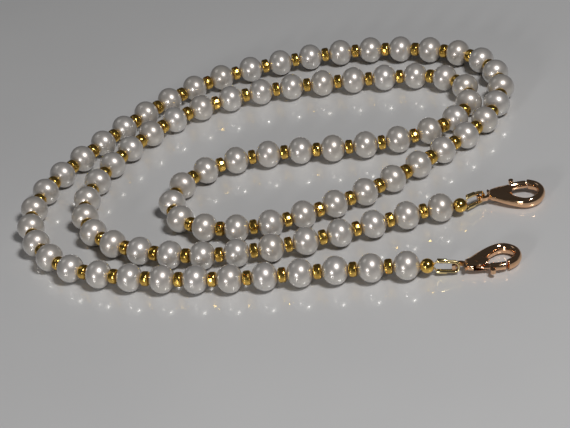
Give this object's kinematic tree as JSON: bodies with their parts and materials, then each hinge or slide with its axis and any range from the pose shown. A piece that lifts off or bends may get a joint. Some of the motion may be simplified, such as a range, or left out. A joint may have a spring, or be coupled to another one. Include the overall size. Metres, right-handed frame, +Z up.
{
  "type": "eyeglasses chain strap",
  "caption": "Eyeglasses chain strap of white imitation pearls and small gold spacer beads on one beading wire, with a covered crimp, wire guardian and lobster clasp at each end.",
  "frame": {"origin": "on the surface that the strap lies on, under the middle of its outline", "axes": "+X along the long side of the laid-out strap, from its closed bends towards the two clasps; +Y across the loops, away from the row that ends at the lower clasp; +Z up from the surface"},
  "size_m": [0.1272, 0.1168, 0.0067],
  "materials": {
    "pearl": "white nacre lacquer over a glass bead, soft pearly sheen",
    "gold_bead": "bright yellow gold plate",
    "gold_fitting": "pale gold plate, polished",
    "rose_gold": "pale rose gold plate, polished",
    "spring_steel": "bare spring wire",
    "beading_wire": "gold-coloured coated stranded wire"
  },
  "bodies": {
    "strand": {"beading_wire": "beading_wire", "pearls_row_1": "pearl", "pearls_bend_1": "pearl", "pearls_row_2": "pearl", "pearls_bend_2": "pearl", "pearls_row_3": "pearl", "pearls_bend_3": "pearl", "pearls_row_4": "pearl", "pearls_bend_4": "pearl", "pearls_row_5": "pearl", "pearls_bend_5": "pearl", "pearls_row_6": "pearl", "spacers_row_1": "gold_bead", "spacers_bend_1": "gold_bead", "spacers_row_2": "gold_bead", "spacers_bend_2": "gold_bead", "spacers_row_3": "gold_bead", "spacers_bend_3": "gold_bead", "spacers_row_4": "gold_bead", "spacers_bend_4": "gold_bead", "spacers_row_5": "gold_bead", "spacers_bend_5": "gold_bead", "spacers_row_6": "gold_bead", "lower_crimp_tube": "gold_fitting", "lower_crimp_cover": "gold_bead", "lower_wire_guardian": "gold_fitting", "lower_wire_loop": "beading_wire", "upper_crimp_tube": "gold_fitting", "upper_crimp_cover": "gold_bead", "upper_wire_guardian": "gold_fitting", "upper_wire_loop": "beading_wire"},
    "lower_clasp": {"lower_clasp_body": "rose_gold", "lower_clasp_pin": "rose_gold", "lower_clasp_spring": "spring_steel"},
    "lower_lever": {"lower_clasp_lever": "rose_gold"},
    "upper_clasp": {"upper_clasp_body": "rose_gold", "upper_clasp_pin": "rose_gold", "upper_clasp_spring": "spring_steel"},
    "upper_lever": {"upper_clasp_lever": "rose_gold"}
  },
  "joints": [
    {"name": "lower_clasp_swing", "type": "hinge", "parent": "strand", "child": "lower_clasp", "pos_m": [0.03711, -0.05398, 0.00207], "axis": [0.053, 0.0084, 0.9986], "range_deg": [-100, 60]},
    {"name": "lower_lever_hinge", "type": "hinge", "parent": "lower_clasp", "child": "lower_lever", "pos_m": [0.0409, -0.05429, 0.00187], "axis": [0.053, 0.0084, 0.9986], "range_deg": [0, 20], "stiffness_Nm_per_rad": 0.002, "springref_deg": -11.46, "deforming": ["lower_clasp_spring"]},
    {"name": "upper_clasp_swing", "type": "hinge", "parent": "strand", "child": "upper_clasp", "pos_m": [0.04735, -0.02636, 0.00207], "axis": [0.0061, -0.0908, 0.9958], "range_deg": [-35, 125]},
    {"name": "upper_lever_hinge", "type": "hinge", "parent": "upper_clasp", "child": "upper_lever", "pos_m": [0.05115, -0.02632, 0.00205], "axis": [-0.0061, 0.0908, -0.9958], "range_deg": [0, 20], "stiffness_Nm_per_rad": 0.002, "springref_deg": -11.46, "deforming": ["upper_clasp_spring"]}
  ]
}
